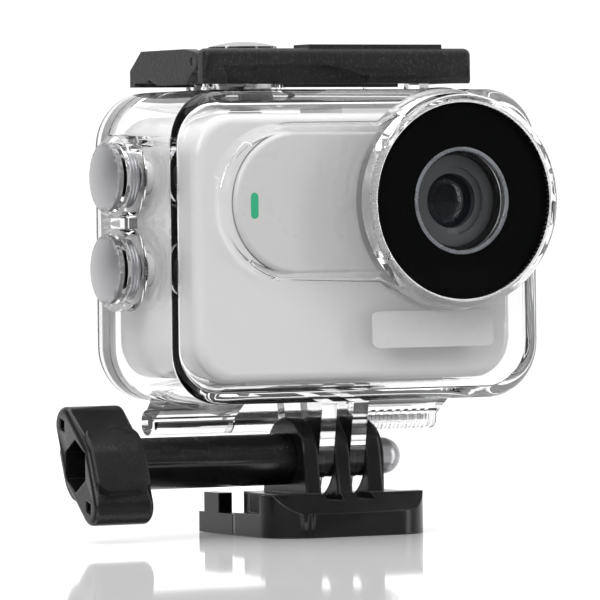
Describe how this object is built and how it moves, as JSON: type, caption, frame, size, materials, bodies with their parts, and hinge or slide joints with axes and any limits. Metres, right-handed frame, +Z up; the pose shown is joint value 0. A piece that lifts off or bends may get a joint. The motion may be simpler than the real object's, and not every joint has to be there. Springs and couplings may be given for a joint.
{
  "type": "action camera in diving case",
  "caption": "Action camera in a clear diving case with lens port, push buttons and top latch, on a two-finger mount with thumb screw and quick-release buckle.",
  "frame": {"origin": "centre of the buckle's base face, straight below the thumb screw's axis", "axes": "+X to the right seen from the front, +Y to the back, +Z up; the lens looks along -Y"},
  "size_m": [0.0867, 0.0447, 0.0882],
  "materials": {
    "black_plastic": "satin moulded black plastic",
    "black_grain": "fine spark-eroded grain",
    "steel": "bright machined steel",
    "chrome": "satin chrome",
    "clear_plastic": "clear moulded polycarbonate",
    "window_glass": "coated flat window",
    "mask_black": "printed black mask",
    "gasket_grey": "translucent silicone",
    "rubber_black": "moulded seal",
    "pod_white": "pearl white plastic",
    "camera_white": "pearl white plastic",
    "lens_black": "black anodised lens parts",
    "lens_glass": "coated lens",
    "screen_glass": "dark cover glass",
    "board_green": "solder mask",
    "battery_grey": "foil pouch",
    "foam_grey": "soft pad",
    "light_green": "status light pipe"
  },
  "bodies": {
    "buckle": {"buckle_body": "black_plastic", "cap_nut": "steel"},
    "spring_arm_left": {"buckle_spring_arm_left": "black_plastic"},
    "spring_arm_right": {"buckle_spring_arm_right": "black_plastic"},
    "thumb_screw": {"thumb_knob": "black_plastic", "thumb_bolt": "steel"},
    "door": {"rear_door": "clear_plastic", "door_gasket": "gasket_grey"},
    "latch_lever": {"latch_lever": "black_grain", "lever_pivot_pin_left": "steel", "lever_pivot_pin_right": "steel", "hook_link_pin_left": "steel", "hook_link_pin_right": "steel"},
    "latch_hook": {"latch_hook": "black_plastic"},
    "upper_button": {"upper_button_cap": "chrome", "upper_button_stem": "steel", "upper_button_clip": "steel"},
    "upper_key": {"upper_pod_key": "pod_white"},
    "lower_button": {"lower_button_cap": "chrome", "lower_button_stem": "steel", "lower_button_clip": "steel"},
    "lower_key": {"lower_pod_key": "pod_white"},
    "top_button": {"top_button_cap": "chrome", "top_button_stem": "steel", "top_button_clip": "steel"},
    "top_key": {"top_pod_key": "pod_white"},
    "housing": {"camera_battery": "battery_grey", "camera_front_cover": "camera_white", "camera_shell": "camera_white", "front_lens": "lens_glass", "front_shell": "clear_plastic", "hinge_pin": "steel", "image_sensor": "board_green", "inner_lens": "lens_glass", "lens_tube": "lens_black", "lens_turret": "lens_black", "lower_button_seal": "rubber_black", "lower_button_spring": "steel", "name_plate": "clear_plastic", "pod_battery": "battery_grey", "pod_circuit_board": "board_green", "pod_cushion_lower": "foam_grey", "pod_cushion_upper": "foam_grey", "pod_front_shell": "pod_white", "pod_rear_shell": "pod_white", "pod_screen": "screen_glass", "port_lens_ring": "chrome", "port_mask_disc": "mask_black", "port_trim_ring": "chrome", "port_window": "window_glass", "status_light": "light_green", "top_button_seal": "rubber_black", "top_button_spring": "steel", "upper_button_seal": "rubber_black", "upper_button_spring": "steel"}
  },
  "joints": [
    {"name": "mount_tilt", "type": "hinge", "parent": "buckle", "child": "housing", "pos_m": [0, 0, 0.0135], "axis": [1, 0, 0], "range_deg": [-20, 65]},
    {"name": "screw_turn", "type": "hinge", "parent": "buckle", "child": "thumb_screw", "pos_m": [0, 0, 0.0135], "axis": [1, 0, 0], "continuous": true},
    {"name": "arm_left_flex", "type": "hinge", "parent": "buckle", "child": "spring_arm_left", "pos_m": [-0.0147, 0.0044, 0], "axis": [0, 0, -1], "range_deg": [0, 4], "stiffness_Nm_per_rad": 1.5},
    {"name": "arm_right_flex", "type": "hinge", "parent": "buckle", "child": "spring_arm_right", "pos_m": [0.0147, 0.0044, 0], "axis": [0, 0, 1], "range_deg": [0, 4], "stiffness_Nm_per_rad": 1.5},
    {"name": "door_hinge", "type": "hinge", "parent": "housing", "child": "door", "pos_m": [0, 0.0125, 0.0202], "axis": [-1, 0, 0], "range_deg": [0, 90]},
    {"name": "lever_hinge", "type": "hinge", "parent": "housing", "child": "latch_lever", "pos_m": [0, 0.0026, 0.0839], "axis": [-1, 0, 0], "range_deg": [0, 85]},
    {"name": "hook_link", "type": "hinge", "parent": "latch_lever", "child": "latch_hook", "pos_m": [0, -0.0032, 0.0845], "axis": [-1, 0, 0], "range_deg": [-85, 0]},
    {"name": "upper_button_press", "type": "slide", "parent": "housing", "child": "upper_button", "axis": [1, 0, 0], "range_m": [0, 0.001], "stiffness_N_per_m": 1500, "springref_m": -0.0008},
    {"name": "upper_key_press", "type": "slide", "parent": "housing", "child": "upper_key", "axis": [1, 0, 0], "range_m": [0, 0.0003]},
    {"name": "lower_button_press", "type": "slide", "parent": "housing", "child": "lower_button", "axis": [1, 0, 0], "range_m": [0, 0.001], "stiffness_N_per_m": 1500, "springref_m": -0.0008},
    {"name": "lower_key_press", "type": "slide", "parent": "housing", "child": "lower_key", "axis": [1, 0, 0], "range_m": [0, 0.0003]},
    {"name": "top_button_press", "type": "slide", "parent": "housing", "child": "top_button", "axis": [0, 0, -1], "range_m": [0, 0.001], "stiffness_N_per_m": 1500, "springref_m": -0.0008},
    {"name": "top_key_press", "type": "slide", "parent": "housing", "child": "top_key", "axis": [0, 0, -1], "range_m": [0, 0.0003]}
  ],
  "couplings": [
    {"joint": "hook_link", "follows": "lever_hinge", "ratio": -1},
    {"joint": "upper_key_press", "follows": "upper_button_press", "ratio": 0.3},
    {"joint": "lower_key_press", "follows": "lower_button_press", "ratio": 0.3},
    {"joint": "top_key_press", "follows": "top_button_press", "ratio": 0.3}
  ]
}
